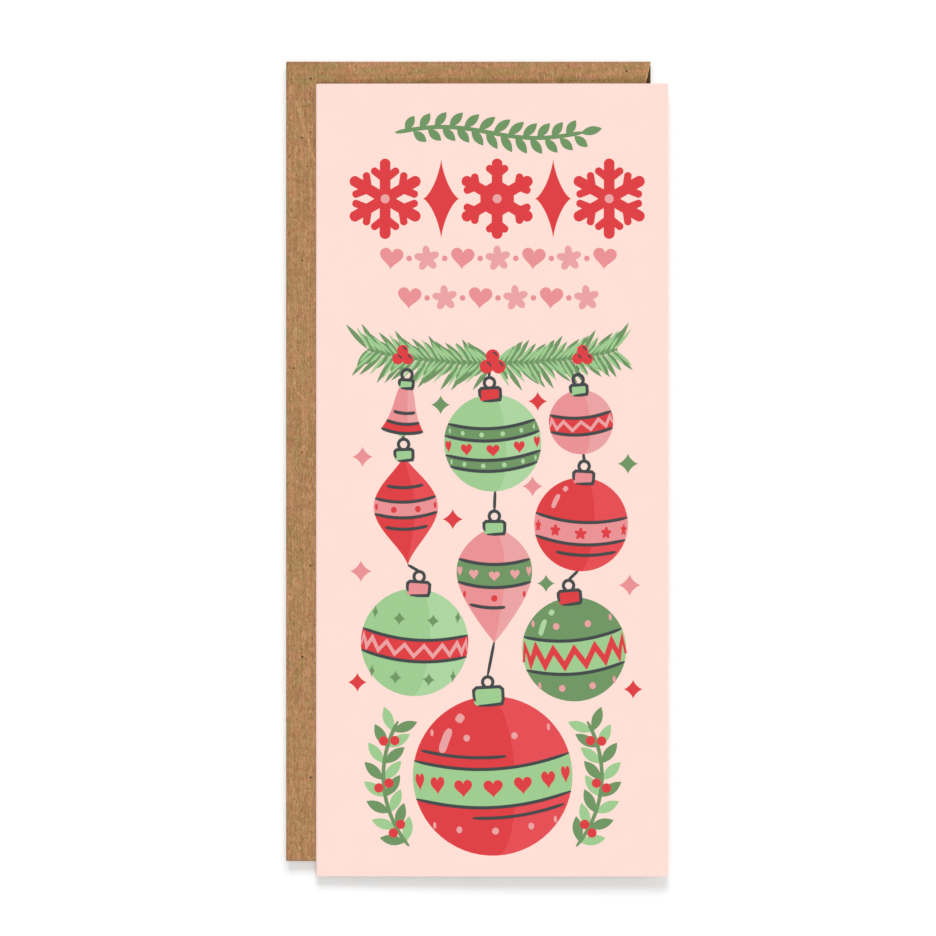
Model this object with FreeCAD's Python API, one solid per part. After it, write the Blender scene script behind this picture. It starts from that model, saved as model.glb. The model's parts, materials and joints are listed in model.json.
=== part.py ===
import FreeCAD, Part
import math
import os

# Tall folded money holder card lying on its kraft envelope, which lies seam side up on a table.
# Lengths are in millimetres. +Z points up from the table, +Y to the card's top edge and +X to its
# fore edge. The origin is on the table, under the middle of the outline of card and envelope.

# Folded card: one scored sheet of heavy card stock, with its spine on the left
card_width = 101.6
card_height = 228.6
card_thickness = 0.40
cover_spring_angle = 0.6  # degrees by which the scored cover stays sprung open
cover_pocket_gap = 0.05  # least room that the spine leaves between the pocket and the front cover

# Cash pocket: a lighter sheet, folded under on three sides and glued inside the back cover
pocket_thickness = 0.25
pocket_height = 92.0
pocket_spine_margin = 7.2
pocket_fore_margin = 3.0
pocket_foot_margin = 3.0
pocket_fold_radius = 0.10
pocket_top_corner = 3.0
tab_width = 9.0
tab_taper = 5.0
tab_corner_gap = 1.0
glue_inset = 1.5
glue_thickness = 0.05
thumb_notch_width = 20.0
thumb_notch_depth = 8.5
thumb_notch_flare = 4.0
thumb_notch_shoulder = 2.5
thumb_notch_round = 6.0

# Envelope: one kraft sheet, cut and folded round the card's size
kraft_thickness = 0.18
envelope_width_room = 3.6
envelope_height_room = 2.2
envelope_inside_gap = 0.60
crease_corner_gap = 0.05
seam_glue_thickness = 0.06
seam_glue_width = 6.0
seam_glue_inset = 2.0

# Side flaps, folded in from the two short ends; their free long edges form the mouth's throat
side_flap_length = 78.0
side_flap_shoulder = 0.03
side_tuck_share = 0.7  # of the room inside the bottom fold's roll that a side flap's edge takes
throat_depth = 11.0
throat_run = 50.0
throat_round = 15.0
side_tip_taper = 4.0
side_tip_round = 8.0
side_root_taper = 3.0

# Bottom flap, folded over the side flaps from the left long edge
bottom_flap_depth = 70.0
bottom_flap_shoulder = 2.9
bottom_knee_depth = 16.4
bottom_knee_run = 52.0
bottom_knee_round = 14.0
bottom_tip_width = 28.0
bottom_tip_round = 10.0

# Seal flap, folded back behind the envelope's face
seal_flap_depth = 42.0
seal_fold_radius = 0.15
seal_flap_shoulder = 0.3
seal_end_slant = 24.0
seal_tip_round = 9.0
gum_width = 9.0
gum_inset = 4.0
gum_end_margin = 8.0
gum_depth = 0.03
gum_round = 2.0

# How the card lies on the envelope
card_shift_right = 6.8
card_shift_down = 5.4
card_rest_gap = 0.15  # room for the opened cover, which comes to lie over the envelope's left edge

# A rounding takes at most this share of each side that meets at its corner
corner_limit_share = 0.48

# Envelope's outline, at first about its own middle
envelope_width = card_width + envelope_width_room
envelope_height = card_height + envelope_height_room
outline_left = min(-envelope_width / 2, card_shift_right - card_width / 2)
outline_right = max(envelope_width / 2, card_shift_right + card_width / 2)
outline_foot = min(-envelope_height / 2, -card_shift_down - card_height / 2)
outline_head = max(envelope_height / 2, -card_shift_down + card_height / 2)

# Places in the part's own frame
envelope_middle_x = -(outline_left + outline_right) / 2
envelope_middle_y = -(outline_foot + outline_head) / 2
envelope_left = envelope_middle_x - envelope_width / 2
envelope_right = envelope_middle_x + envelope_width / 2
card_left = envelope_middle_x + card_shift_right - card_width / 2
card_right = card_left + card_width
card_middle_y = envelope_middle_y - card_shift_down
card_foot = card_middle_y - card_height / 2

# Heights, stacked from the table up
seal_outer_radius = seal_fold_radius + kraft_thickness
seal_axis_z = seal_outer_radius
face_low = seal_axis_z + seal_fold_radius
face_high = face_low + kraft_thickness
side_fold_radius = envelope_inside_gap / 2
side_outer_radius = side_fold_radius + kraft_thickness
side_axis_z = face_high + side_fold_radius
side_flap_low = face_high + envelope_inside_gap
side_flap_high = side_flap_low + kraft_thickness
bottom_flap_low = side_flap_high + seam_glue_thickness
bottom_flap_high = bottom_flap_low + kraft_thickness
bottom_fold_radius = (bottom_flap_low - face_high) / 2
bottom_outer_radius = bottom_fold_radius + kraft_thickness
bottom_axis_z = face_high + bottom_fold_radius
card_low = bottom_flap_high + card_rest_gap
pocket_stack = glue_thickness + 2 * pocket_thickness + 2 * pocket_fold_radius
spine_inner_radius = (pocket_stack + cover_pocket_gap) / 2
spine_outer_radius = spine_inner_radius + card_thickness
spine_axis_z = card_low + spine_outer_radius
back_high = card_low + card_thickness
tab_low = back_high + glue_thickness
pocket_outer_radius = pocket_fold_radius + pocket_thickness
pocket_fold_z = tab_low + pocket_outer_radius

# Fold lines seen from above
spine_x = card_left + spine_outer_radius
seal_fold_x = envelope_right - seal_outer_radius
bottom_fold_x = envelope_left + bottom_outer_radius
side_fold_half = envelope_height / 2 - side_outer_radius
side_tuck_room = math.sqrt(bottom_fold_radius**2 - (bottom_fold_radius - seam_glue_thickness) ** 2)
side_flap_left = bottom_fold_x - side_tuck_share * side_tuck_room
pocket_left_fold = spine_x + pocket_spine_margin + pocket_outer_radius
pocket_right_fold = card_right - pocket_fore_margin - pocket_outer_radius
pocket_foot_fold = card_foot + pocket_foot_margin + pocket_outer_radius
pocket_head = pocket_foot_fold + pocket_height

quarter = math.pi / 2
up = FreeCAD.Vector(0, 0, 1)
along_y = FreeCAD.Vector(0, 1, 0)


def at_angle(radius, angle):
    """Point at a polar angle in the XZ plane, from +X towards +Z."""
    return FreeCAD.Vector(radius * math.cos(angle), 0, radius * math.sin(angle))


def rounded_face(corners, z=0):
    """Flat face whose corners, as (x, y, radius), are rounded by arcs tangent to their sides."""
    count = len(corners)
    points = [FreeCAD.Vector(x, y, z) for x, y, radius in corners]
    edges = []
    ends = []
    for i, (x, y, radius) in enumerate(corners):
        if radius == 0:
            ends.append((points[i], points[i]))
            continue
        back = points[i - 1] - points[i]
        ahead = points[(i + 1) % count] - points[i]
        half_angle = back.getAngle(ahead) / 2
        room = corner_limit_share * min(back.Length, ahead.Length)
        cut = min(radius / math.tan(half_angle), room)
        back.normalize()
        ahead.normalize()
        toward_centre = (back + ahead).normalize()
        true_radius = cut * math.tan(half_angle)
        reach = true_radius / math.sin(half_angle) - true_radius
        start = points[i] + back * cut
        end = points[i] + ahead * cut
        middle = points[i] + toward_centre * reach
        edges.append(Part.Arc(start, middle, end).toShape())
        ends.append((start, end))
    for i in range(count):
        edges.append(Part.LineSegment(ends[i][1], ends[(i + 1) % count][0]).toShape())
    return Part.Face(Part.Wire(Part.__sortEdges__(edges)))


def sheet(corners, low, thickness):
    """Flat piece of paper with a rounded outline."""
    return rounded_face(corners, low).extrude(up * thickness)


def rectangle(x_low, x_high, y_low, y_high, radius=0):
    """Corners of an upright rectangle for rounded_face."""
    return [
        (x_low, y_low, radius),
        (x_high, y_low, radius),
        (x_high, y_high, radius),
        (x_low, y_high, radius),
    ]


def crease(inner, outer, start, end, length):
    """Rolled strip of paper about the Y axis, from one polar angle to another, centred on its length."""
    middle = (start + end) / 2
    edges = [
        Part.Arc(at_angle(outer, start), at_angle(outer, middle), at_angle(outer, end)).toShape(),
        Part.LineSegment(at_angle(outer, end), at_angle(inner, end)).toShape(),
        Part.Arc(at_angle(inner, end), at_angle(inner, middle), at_angle(inner, start)).toShape(),
        Part.LineSegment(at_angle(inner, start), at_angle(outer, start)).toShape(),
    ]
    profile = Part.Face(Part.Wire(edges))
    profile.translate(along_y * (-length / 2))
    return profile.extrude(along_y * length)


def placed(shape, x, y, z, turn=0):
    """Shape turned about Z by so many degrees, then moved from the origin to its place."""
    moved = shape.copy()
    moved.rotate(FreeCAD.Vector(0, 0, 0), up, turn)
    moved.translate(FreeCAD.Vector(x, y, z))
    return moved


# Card


def back_cover():
    corners = rectangle(spine_x, card_right, card_foot, card_foot + card_height)
    return sheet(corners, card_low, card_thickness)


def front_cover():
    corners = rectangle(spine_x, card_right, card_foot, card_foot + card_height)
    cover = sheet(corners, spine_axis_z + spine_inner_radius, card_thickness)
    cover.rotate(FreeCAD.Vector(spine_x, 0, spine_axis_z), along_y, -cover_spring_angle)
    return cover


def spine_crease():
    start = quarter + math.radians(cover_spring_angle)
    strip = crease(spine_inner_radius, spine_outer_radius, start, 3 * quarter, card_height)
    return placed(strip, spine_x, card_middle_y, spine_axis_z)


# Cash pocket


def pocket_panel():
    middle = (pocket_left_fold + pocket_right_fold) / 2
    brim = thumb_notch_width / 2
    floor = brim - thumb_notch_flare
    corners = [
        (pocket_left_fold, pocket_foot_fold, 0),
        (pocket_right_fold, pocket_foot_fold, 0),
        (pocket_right_fold, pocket_head, pocket_top_corner),
        (middle + brim, pocket_head, thumb_notch_shoulder),
        (middle + floor, pocket_head - thumb_notch_depth, thumb_notch_round),
        (middle - floor, pocket_head - thumb_notch_depth, thumb_notch_round),
        (middle - brim, pocket_head, thumb_notch_shoulder),
        (pocket_left_fold, pocket_head, pocket_top_corner),
    ]
    return sheet(corners, pocket_fold_z + pocket_fold_radius, pocket_thickness)


def folded_tab(length):
    """Glue tab with its fold, about the fold's axis: the tab reaches +X and the fold bulges -X."""
    half = length / 2
    plan = [
        (-pocket_outer_radius, -half, 0),
        (0, -half, 0),
        (tab_width, -half + tab_taper, 0),
        (tab_width, half - tab_taper, 0),
        (0, half, 0),
        (-pocket_outer_radius, half, 0),
    ]
    fold = crease(pocket_fold_radius, pocket_outer_radius, quarter, 3 * quarter, length)
    flat = rectangle(0, tab_width, -half, half)
    bent = fold.fuse(sheet(flat, -pocket_outer_radius, pocket_thickness)).removeSplitter()
    stencil = sheet(plan, -pocket_outer_radius, 2 * pocket_outer_radius)
    return bent.common(stencil).Solids[0]


def tab_glue(length):
    """Glue line under a tab, in the tab's own place."""
    half = length / 2 - tab_taper
    corners = rectangle(glue_inset, tab_width - glue_inset, -half, half, glue_inset)
    return sheet(corners, -pocket_outer_radius - glue_thickness, glue_thickness)


def pocket_tabs():
    """The three tabs and their glue lines, by node name."""
    side_foot = pocket_foot_fold + tab_width + tab_corner_gap
    side_head = pocket_head - pocket_top_corner
    side_length = side_head - side_foot
    side_middle = (side_head + side_foot) / 2
    foot_length = pocket_right_fold - pocket_left_fold
    foot_middle = (pocket_left_fold + pocket_right_fold) / 2
    places = {
        "left": (side_length, pocket_left_fold, side_middle, 0),
        "right": (side_length, pocket_right_fold, side_middle, 180),
        "foot": (foot_length, foot_middle, pocket_foot_fold, 90),
    }
    found = {}
    for side, (length, x, y, turn) in places.items():
        found[f"pocket_{side}_tab"] = placed(folded_tab(length), x, y, pocket_fold_z, turn)
        found[f"pocket_{side}_glue"] = placed(tab_glue(length), x, y, pocket_fold_z, turn)
    return found


# Envelope


def envelope_face():
    corners = rectangle(
        bottom_fold_x,
        seal_fold_x,
        envelope_middle_y - side_fold_half,
        envelope_middle_y + side_fold_half,
    )
    return sheet(corners, face_low, kraft_thickness)


def side_flap_corners(side, shrink=0):
    """Outline of a side flap: side is 1 at the head and -1 at the foot."""
    base = envelope_middle_y + side * side_fold_half
    tip = base - side * side_flap_length
    right = envelope_right - side_flap_shoulder
    throat = right - throat_depth
    return [
        (side_flap_left + shrink, base - side * shrink, 0),
        (right - shrink, base - side * shrink, 0),
        (throat - shrink, base - side * throat_run, throat_round),
        (throat - side_tip_taper - shrink, tip + side * shrink, side_tip_round),
        (side_flap_left + side_root_taper + shrink, tip + side * shrink, side_tip_round),
    ]


def side_crease(side):
    left = bottom_fold_x + side_flap_shoulder
    right = envelope_right - side_flap_shoulder
    fold = crease(side_fold_radius, side_outer_radius, -quarter, quarter, right - left)
    base = envelope_middle_y + side * side_fold_half
    return placed(fold, (left + right) / 2, base, side_axis_z, side * 90)


def bottom_flap_corners():
    half = side_fold_half - bottom_flap_shoulder
    lower_half = [
        (bottom_fold_x, -half, 0),
        (bottom_fold_x + bottom_knee_depth, -half + bottom_knee_run, bottom_knee_round),
        (bottom_fold_x + bottom_flap_depth, -bottom_tip_width / 2, bottom_tip_round),
    ]
    upper_half = [(x, -y, radius) for x, y, radius in reversed(lower_half)]
    return [(x, y + envelope_middle_y, radius) for x, y, radius in lower_half + upper_half]


def bottom_crease():
    length = envelope_height - 2 * crease_corner_gap
    fold = crease(bottom_fold_radius, bottom_outer_radius, quarter, 3 * quarter, length)
    return placed(fold, bottom_fold_x, envelope_middle_y, bottom_axis_z)


def seam_glue(side):
    """Glue line inside the bottom flap's edge, where that flap lies on a side flap."""
    flap = rounded_face(bottom_flap_corners(), side_flap_high)
    outer = flap.makeOffset2D(-seam_glue_inset)
    inner = flap.makeOffset2D(-seam_glue_inset - seam_glue_width)
    under = rounded_face(side_flap_corners(side, seam_glue_inset), side_flap_high)
    line = outer.cut(inner).common(under)
    widest = max(line.Faces, key=lambda face: face.Area)
    return widest.extrude(up * seam_glue_thickness)


def seal_crease():
    length = 2 * (side_fold_half - seal_flap_shoulder)
    fold = crease(seal_fold_radius, seal_outer_radius, -quarter, quarter, length)
    return placed(fold, seal_fold_x, envelope_middle_y, seal_axis_z)


def gum_corners():
    low_x = seal_fold_x - seal_flap_depth + gum_inset
    half = side_fold_half - seal_flap_shoulder - seal_end_slant - gum_end_margin
    foot = envelope_middle_y - half
    head = envelope_middle_y + half
    return rectangle(low_x, low_x + gum_width, foot, head, gum_round)


def seal_flap():
    """Seal flap, with a shallow bed for its gum on the side that now faces the table."""
    half = side_fold_half - seal_flap_shoulder
    tip_x = seal_fold_x - seal_flap_depth
    tip_half = half - seal_end_slant
    corners = [
        (seal_fold_x, envelope_middle_y + half, 0),
        (tip_x, envelope_middle_y + tip_half, seal_tip_round),
        (tip_x, envelope_middle_y - tip_half, seal_tip_round),
        (seal_fold_x, envelope_middle_y - half, 0),
    ]
    return sheet(corners, 0, kraft_thickness).cut(gum_strip()).Solids[0]


def gum_strip():
    return sheet(gum_corners(), 0, gum_depth)


def all_pieces():
    """Every piece by its node name."""
    pieces = {
        "card_back_cover": back_cover(),
        "card_front_cover": front_cover(),
        "card_spine_crease": spine_crease(),
        "pocket_panel": pocket_panel(),
        "envelope_face": envelope_face(),
        "envelope_bottom_crease": bottom_crease(),
        "envelope_bottom_flap": sheet(bottom_flap_corners(), bottom_flap_low, kraft_thickness),
        "seal_flap_crease": seal_crease(),
        "seal_flap": seal_flap(),
        "seal_gum_strip": gum_strip(),
    }
    for name, side in (("head", 1), ("foot", -1)):
        corners = side_flap_corners(side)
        pieces[f"envelope_{name}_flap"] = sheet(corners, side_flap_low, kraft_thickness)
        pieces[f"envelope_{name}_crease"] = side_crease(side)
        pieces[f"envelope_{name}_seam_glue"] = seam_glue(side)
    pieces.update(pocket_tabs())
    return pieces


def main():
    os.makedirs("parts", exist_ok=True)
    for name, shape in all_pieces().items():
        if not shape.isValid() or shape.Volume <= 0:
            raise ValueError(f"{name} isn't a sound solid")
        shape.exportStep(f"parts/{name}.step")
        print(f"{name}: {shape.Volume:.1f} mm3, {len(shape.Solids)} solid")
    note_room = pocket_right_fold - pocket_left_fold - 2 * tab_width
    print(f"room between the pocket's tabs: {note_room:.1f} mm")
    print(f"spine axis: x {spine_x:.4f}, z {spine_axis_z:.4f}")
    print(f"seal fold axis: x {seal_fold_x:.4f}, z {seal_axis_z:.4f}")
    print(f"card foot {card_foot:.3f}, middle {card_middle_y:.3f}; pocket head {pocket_head:.3f}")


main()
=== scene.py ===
import json
import math

import bmesh
import bpy
from mathutils import Matrix, Vector, noise


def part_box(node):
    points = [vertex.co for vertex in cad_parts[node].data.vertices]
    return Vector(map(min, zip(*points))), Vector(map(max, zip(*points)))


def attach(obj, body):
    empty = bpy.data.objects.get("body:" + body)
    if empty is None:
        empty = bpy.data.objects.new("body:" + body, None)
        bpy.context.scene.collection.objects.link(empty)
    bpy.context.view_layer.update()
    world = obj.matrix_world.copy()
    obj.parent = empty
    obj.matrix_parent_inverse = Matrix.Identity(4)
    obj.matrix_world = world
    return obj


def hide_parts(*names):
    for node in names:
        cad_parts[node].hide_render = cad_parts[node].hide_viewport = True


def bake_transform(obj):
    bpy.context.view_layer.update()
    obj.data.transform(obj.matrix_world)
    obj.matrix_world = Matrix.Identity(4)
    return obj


# A closed money holder card on its kraft envelope, seen from straight above
# Lengths in the dictionaries are in millimetres, and the scene is in metres

mm = 0.001

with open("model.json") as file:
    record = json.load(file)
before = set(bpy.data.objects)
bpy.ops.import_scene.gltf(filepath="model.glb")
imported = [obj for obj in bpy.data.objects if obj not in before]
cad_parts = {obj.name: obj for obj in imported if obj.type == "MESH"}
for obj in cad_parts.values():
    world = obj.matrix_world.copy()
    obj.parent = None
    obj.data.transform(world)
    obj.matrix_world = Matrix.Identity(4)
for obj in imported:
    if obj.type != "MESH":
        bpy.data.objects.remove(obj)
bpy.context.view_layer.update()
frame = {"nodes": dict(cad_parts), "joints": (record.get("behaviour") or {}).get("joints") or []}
nodes = frame["nodes"]
joints = {joint["name"]: joint for joint in frame["joints"]}
print("frame loaded")


# Small helpers


def toLinear(hexCode):
    channels = [int(hexCode[i : i + 2], 16) / 255 for i in (1, 3, 5)]
    return [c / 12.92 if c <= 0.04045 else ((c + 0.055) / 1.055) ** 2.4 for c in channels] + [1]


def addNode(tree, kind, sockets={}, stops=(), **settings):
    # A socket takes a number, a colour, another socket or a node, whose first output is meant
    # Stops are the places and colours of a ramp
    node = tree.nodes.new(kind)
    for name, value in settings.items():
        setattr(node, name, value)
    for i, (place, hexCode) in enumerate(stops):
        elements = node.color_ramp.elements
        element = elements[i] if i < len(elements) else elements.new(1)
        element.position = place
        element.color = toLinear(hexCode)
    for name, value in sockets.items():
        if isinstance(value, bpy.types.Node):
            value = value.outputs[0]
        if isinstance(value, bpy.types.NodeSocket):
            tree.links.new(value, node.inputs[name])
        else:
            node.inputs[name].default_value = value
    return node


def newMaterial(name, sockets):
    material = bpy.data.materials.new(name)
    material.use_nodes = True
    tree = material.node_tree
    tree.nodes.clear()
    shader = addNode(tree, "ShaderNodeBsdfPrincipled", sockets)
    addNode(tree, "ShaderNodeOutputMaterial", {"Surface": shader}, name="output")
    return material, tree, shader


def inMillimetres(tree, cell=(1, 1, 1), turn=0):
    # Object coordinates counted in cells of so many millimetres, whose first side is turned from +X
    place = addNode(tree, "ShaderNodeTexCoord")
    return addNode(tree, "ShaderNodeMapping", {
        "Vector": place.outputs["Object"], "Rotation": (0, 0, math.radians(turn)),
        "Scale": [size * mm for size in cell]}, vector_type="TEXTURE")


def finishSurface(tree, shader, colour, height, strength, depth):
    # Gives the shader its colour, and a bump whose depth is in millimetres
    bump = addNode(tree, "ShaderNodeBump", {
        "Strength": strength, "Distance": depth * mm, "Height": height})
    tree.links.new(colour.outputs[0], shader.inputs["Base Color"])
    tree.links.new(bump.outputs[0], shader.inputs["Normal"])


def coatNode(node, material):
    nodes[node].data.materials.clear()
    nodes[node].data.materials.append(material)


meshWork = {
    "merge": 0.002,  # points of the frame nearer than this are one
    "rimMerge": 0.001,  # and points of a rounded rim
    "onPlane": 0.0001,  # points this near a cutting plane lie on it
    "outward": 0.7,  # a face is on a fold's outer side if its normal's share that way is more than this
    "level": 0.9,  # and lies level if its share upwards is
    "flatAngle": 0.5,  # degrees between faces that are one flat face
    "smoothAngle": 35,  # degrees between faces that are shaded as one
    "rimAngle": 50,  # degrees at an edge that gets rounded
    "rootReach": 0.01,  # points this near a sheet's root lie on it
}


def toObject(bm, name, materials, body=None, smooth=False):
    mesh = bpy.data.meshes.new(name)
    for face in bm.faces:
        face.smooth = smooth
    for edge in bm.edges:
        edge.smooth = edge.calc_face_angle(0) < math.radians(meshWork["smoothAngle"])
    bm.to_mesh(mesh)
    bm.free()
    for material in materials:
        mesh.materials.append(material)
    piece = bpy.data.objects.new(name, mesh)
    bpy.context.scene.collection.objects.link(piece)
    if body:
        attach(piece, body)
    return piece


# Paper materials

noiseSpan = {1: 0.3, 2: 0.7}  # From Min and From Max of a Map Range, between which nearly all of a noise lies

cardStockLook = {
    "felt": 0.35,  # size of the felt marks
    "cloud": 7.0,  # and of the slow drift in tone
    "span": (0.7, 1.3),  # nearly all of the two together lies between these
    "tone": (0.99, 1.007),  # the darkest and the lightest
    "bump": (0.18, 0.02),  # strength and depth
}


def makeCardStock(name, hexCode, roughness, gloss):
    # Uncoated cover stock: a soft felt tooth that scatters light evenly, with hardly any shine
    material, tree, shader = newMaterial(name, {
        "Roughness": roughness, "IOR": 1.5, "Specular IOR Level": gloss})
    place = inMillimetres(tree)
    felt = addNode(tree, "ShaderNodeTexNoise", {
        "Vector": place, "Scale": 1 / cardStockLook["felt"], "Detail": 3, "Roughness": 0.6})
    cloud = addNode(tree, "ShaderNodeTexNoise", {
        "Vector": place, "Scale": 1 / cardStockLook["cloud"], "Detail": 2})
    both = addNode(tree, "ShaderNodeMath", {0: felt, 1: cloud}, operation="ADD")
    low, high = cardStockLook["span"]
    darkest, lightest = cardStockLook["tone"]
    value = addNode(tree, "ShaderNodeMapRange", {0: both, 1: low, 2: high, 3: darkest, 4: lightest})
    tint = addNode(tree, "ShaderNodeHueSaturation", {"Value": value, "Color": toLinear(hexCode)})
    shaded = addNode(tree, "ShaderNodeHueSaturation", {"Color": tint}, name="shade")
    finishSurface(tree, shader, shaded, felt, *cardStockLook["bump"])
    return material


kraftLook = {
    "stops": [(0.0, "#6E472A"), (0.5, "#B3875B"), (1.0, "#E1B887")],
    # Clouds in the pulp, clots, grain and machine streaks: size across and along the sheet's grain in
    # millimetres, detail and weight
    "layers": [(6.0, 6.0, 2, 0.20), (1.2, 1.7, 2, 0.34), (0.36, 0.6, 2, 0.54), (0.40, 4.0, 2, 0.26)],
    "patch": 1.9,  # patches that lean to orange or to olive
    "lean": 0.009,  # how far their hue turns, as a share of the colour circle
    "glow": 8,  # how much brighter orange is than olive, for each unit of that turn
    "fibre": (1.5, 0.24, 1.5),  # length and width of a loose fibre, drawn coarser than real ones to show
    # Loose fibres: direction, colour, how much they cover, and how rare they are
    "fibres": [
        (82, "#5E3D22", 0.50, 0.64), (112, "#6A4626", 0.45, 0.65), (48, "#6E4A2A", 0.40, 0.66),
        (-36, "#E6C596", 0.35, 0.66), (95, "#E2BE8E", 0.45, 0.64),
    ],
    "fibreRim": 0.05,  # how softly a fibre ends
    "speck": 2.4,  # spacing of the cells that may hold a dark bark speck
    "speckless": 0.66,  # share of the cells that hold none
    "speckRadius": 0.15,  # largest radius, as a share of the spacing
    "speckColour": "#3E2818",
    "speckCover": 0.85,
    "foldBand": (5, 14),  # distances from a fold up to which the sheet is rubbed fully, and at all
    "foldStreak": (24, 0.55),  # length and width of the streaks there
    "foldPatch": (8, 1.7),  # and of the patches there that lean to orange or to olive
    "foldRub": (-0.84, 0.36),  # tone of the darkest and the lightest streak, for a strength of 1
    "foldRelief": 2.5,
    "bump": (0.6, 0.06),  # strength and depth
}


def leanColour(tree, colour, lean, tone):
    # Below zero the colour leans to orange and grows brighter, and above it leans to olive and grows duller
    hue = addNode(tree, "ShaderNodeMath", {0: lean, 1: 0.5}, operation="ADD")
    value = addNode(tree, "ShaderNodeMath", {
        0: lean, 1: -kraftLook["glow"], 2: tone}, operation="MULTIPLY_ADD")
    return addNode(tree, "ShaderNodeHueSaturation", {"Hue": hue, "Value": value, "Color": colour})


def makeKraft(name, shade=1, folds=()):
    # Unbleached kraft paper, machine finished: brown, mottled, with bark specks and loose fibres
    # Each fold of the sheet has its axis, its place, the side that the sheet lies on, how strong its streaks
    # are and how far the hue there leans to orange and olive
    look = kraftLook
    material, tree, shader = newMaterial(name, {
        "Roughness": 0.82, "IOR": 1.48, "Specular IOR Level": 0.15})
    place = inMillimetres(tree)
    mottle = 0.5
    for across, along, detail, weight in look["layers"]:
        layer = addNode(tree, "ShaderNodeTexNoise", {
            "Vector": inMillimetres(tree, (across, along, across)),
            "Scale": 1, "Detail": detail, "Roughness": 0.6})
        swing = addNode(tree, "ShaderNodeMapRange", {0: layer, 3: -weight / 2, 4: weight / 2}, clamp=False)
        mottle = addNode(tree, "ShaderNodeMath", {0: mottle, 1: swing}, operation="ADD")
    height = mottle
    colour = addNode(tree, "ShaderNodeValToRGB", {0: mottle}, look["stops"])

    # Patches that lean to orange or to olive
    drift = addNode(tree, "ShaderNodeTexNoise", {"Vector": place, "Scale": 1 / look["patch"], "Detail": 1})
    lean = addNode(tree, "ShaderNodeMapRange", {0: drift, **noiseSpan, 3: -look["lean"], 4: look["lean"]})
    colour = leanColour(tree, colour, lean, 1)

    # Loose fibres, most of them along the grain
    for turn, hexCode, cover, rare in look["fibres"]:
        fibre = addNode(tree, "ShaderNodeTexNoise", {
            "Vector": inMillimetres(tree, look["fibre"], turn), "Scale": 0.8, "Detail": 1, "Distortion": 0.5})
        mask = addNode(tree, "ShaderNodeMapRange", {
            0: fibre, 1: rare, 2: rare + look["fibreRim"], 3: 0, 4: cover})
        mix = addNode(tree, "ShaderNodeMix", {0: mask, 6: colour, 7: toLinear(hexCode)}, data_type="RGBA")
        colour = mix.outputs[2]

    # Bark specks: only some cells hold one, and each has its own size
    cells = addNode(tree, "ShaderNodeTexVoronoi", {
        "Vector": place, "Scale": 1 / look["speck"], "Randomness": 1})
    chance = addNode(tree, "ShaderNodeSeparateColor", {0: cells.outputs["Color"]})
    radius = addNode(tree, "ShaderNodeMapRange", {
        0: chance, 1: look["speckless"], 2: 1, 3: 0, 4: look["speckRadius"]})
    speck = addNode(tree, "ShaderNodeMath", {
        0: cells.outputs["Distance"], 1: radius}, operation="LESS_THAN")
    dark = addNode(tree, "ShaderNodeMath", {0: speck, 1: look["speckCover"]}, operation="MULTIPLY")
    mix = addNode(tree, "ShaderNodeMix", {
        0: dark, 6: colour, 7: toLinear(look["speckColour"])}, data_type="RGBA")
    colour = mix.outputs[2]

    # Streaks beside the folded edges, where the sheet was bent and rubbed, on a darker ground
    for axis, edge, inward, strength, leaning in folds:
        noises = []
        for length, width in (look["foldStreak"], look["foldPatch"]):
            cell = [length] * 3
            cell[axis] = width
            noises.append(addNode(tree, "ShaderNodeTexNoise", {
                "Vector": inMillimetres(tree, cell), "Scale": 1, "Detail": 3}))
        streak, patch = noises
        where = addNode(tree, "ShaderNodeSeparateXYZ", {0: place})
        full, end = [edge + distance * inward for distance in look["foldBand"]]
        near = addNode(tree, "ShaderNodeMapRange", {0: where.outputs[axis], 1: full, 2: end, 3: 1, 4: 0})
        darkest, lightest = [tone * strength for tone in look["foldRub"]]
        rub = addNode(tree, "ShaderNodeMapRange", {0: streak, **noiseSpan, 3: darkest, 4: lightest})
        lean = addNode(tree, "ShaderNodeMapRange", {0: patch, **noiseSpan, 3: -leaning, 4: leaning})
        tone = addNode(tree, "ShaderNodeMath", {0: rub, 1: near, 2: 1}, operation="MULTIPLY_ADD")
        leanHere = addNode(tree, "ShaderNodeMath", {0: lean, 1: near}, operation="MULTIPLY")
        colour = leanColour(tree, colour, leanHere, tone)
        height = addNode(tree, "ShaderNodeMath", {
            0: tone, 1: look["foldRelief"], 2: height}, operation="MULTIPLY_ADD")

    shaded = addNode(tree, "ShaderNodeHueSaturation", {"Value": shade, "Color": colour}, name="shade")
    finishSurface(tree, shader, shaded, height, *look["bump"])
    return material


def shadeAlong(material, axis, middle, near, far, inner, outer):
    # Paints shade and highlights into the paper by place: its tone is inner within the near distance of a
    # place on one axis, and outer past the far one
    tree = material.node_tree
    where = addNode(tree, "ShaderNodeSeparateXYZ", {0: inMillimetres(tree)})
    along = addNode(tree, "ShaderNodeMath", {0: where.outputs[axis], 1: middle}, operation="SUBTRACT")
    reach = addNode(tree, "ShaderNodeMath", {0: along}, operation="ABSOLUTE")
    tone = addNode(tree, "ShaderNodeMapRange", {
        0: reach, 1: near, 2: far, 3: inner, 4: outer}, interpolation_type="SMOOTHSTEP")
    tree.links.new(tone.outputs[0], tree.nodes["shade"].inputs["Value"])


filmLook = {
    "ripple": 1.25,  # size of the ripples
    "tone": (0.9, 1.1),
    "gloss": (0.7, 1.3),  # how the roughness varies
    "bump": (0.4, 0.03),  # strength and depth
}


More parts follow.
